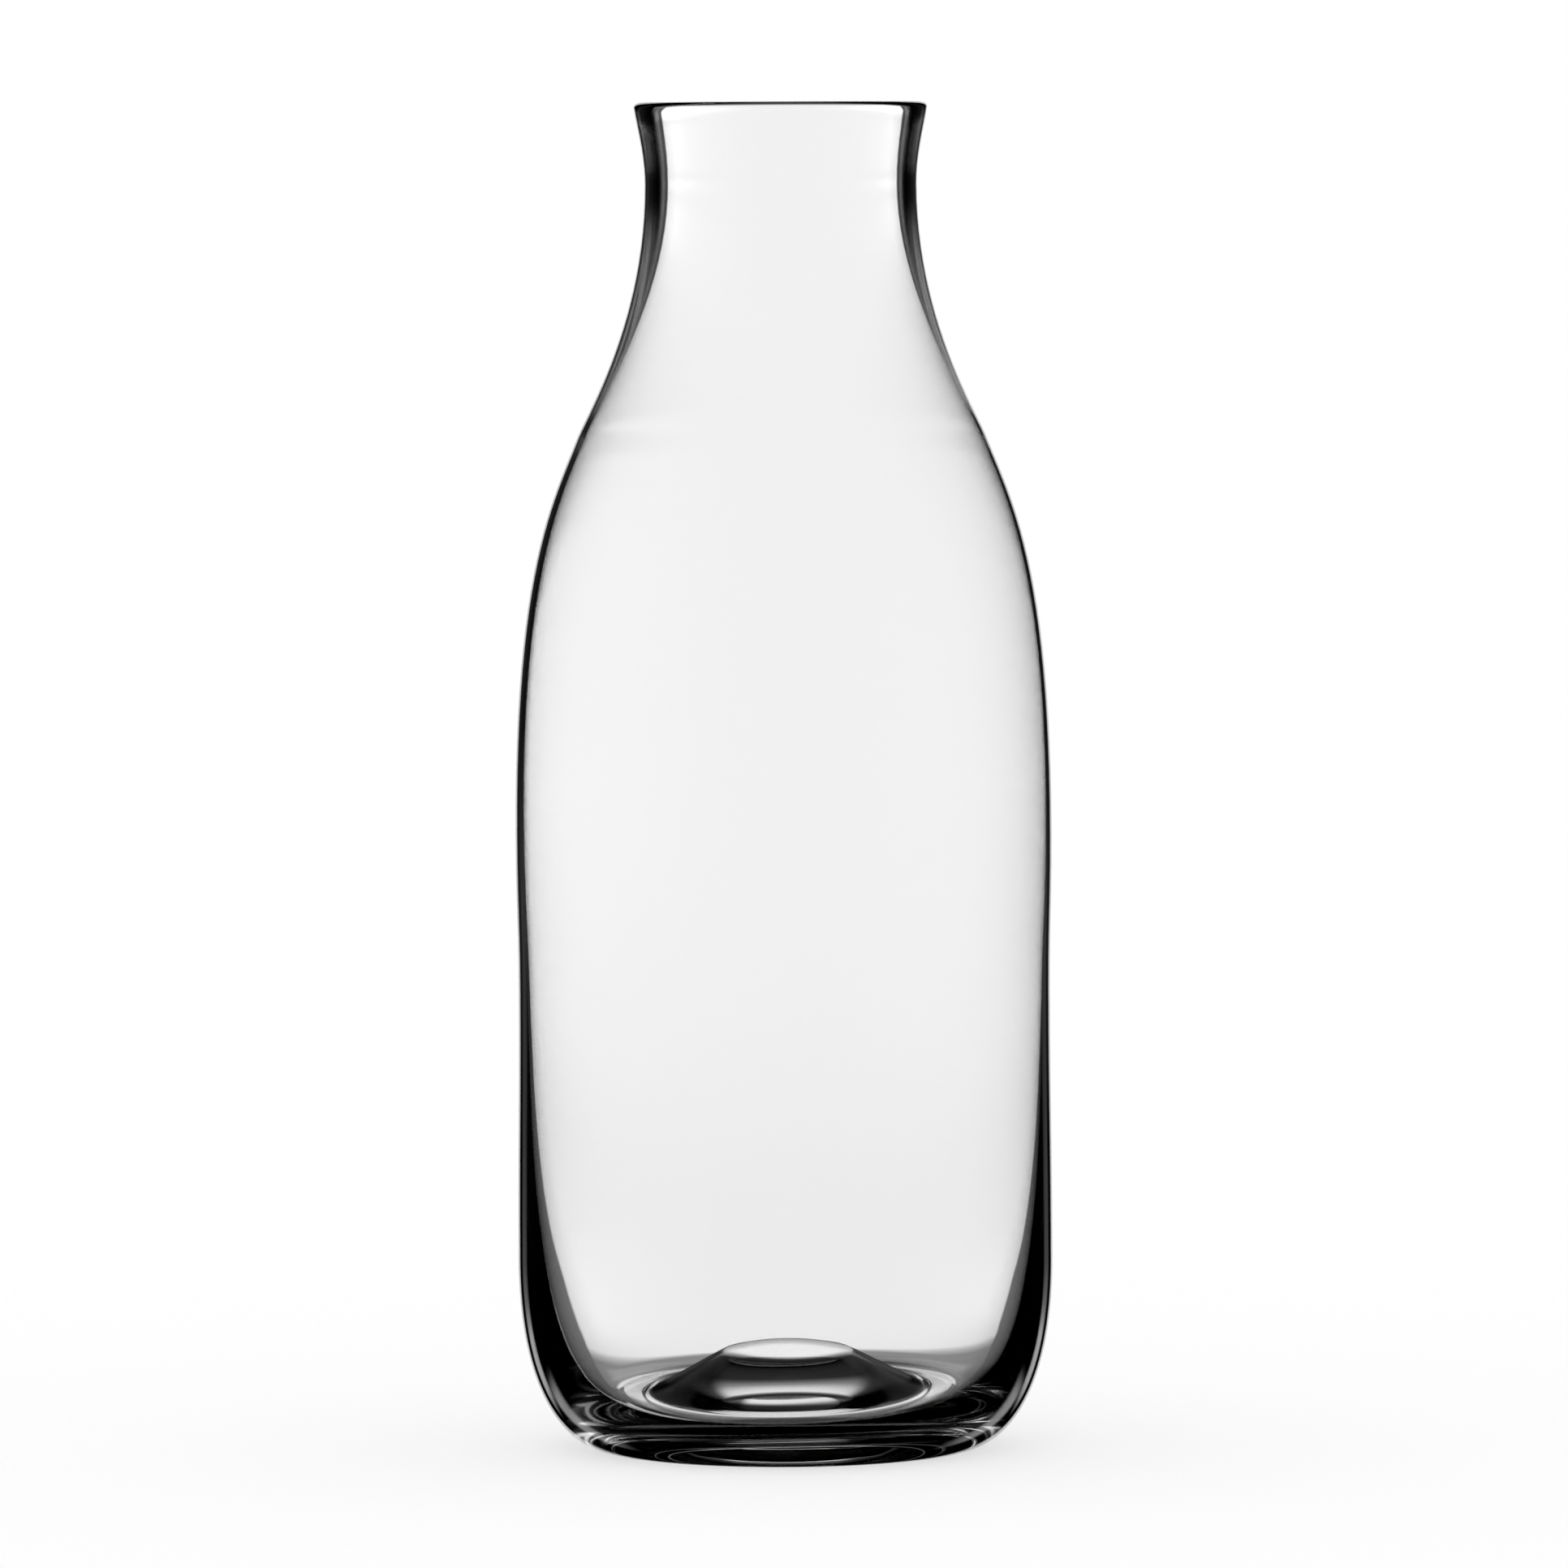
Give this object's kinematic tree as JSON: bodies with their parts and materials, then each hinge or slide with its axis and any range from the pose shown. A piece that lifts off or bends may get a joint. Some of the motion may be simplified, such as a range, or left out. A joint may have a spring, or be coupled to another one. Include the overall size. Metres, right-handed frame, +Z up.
{
  "type": "milk bottle",
  "caption": "Clear mouth-blown glass milk bottle: nearly straight body, sloping shoulder, short flared neck with a fire-polished lip, and a heavy base pushed up inside.",
  "frame": {"origin": "centre of the standing ring, on the surface the bottle stands on", "axes": "+Z up along the bottle's axis, towards the mouth; X and Y are free, because the bottle is round"},
  "size_m": [0.0956, 0.0956, 0.24],
  "materials": {
    "glass": "clear, fire-polished, mouth-blown"
  },
  "bodies": {
    "root": {"bottle": "glass"}
  },
  "joints": []
}
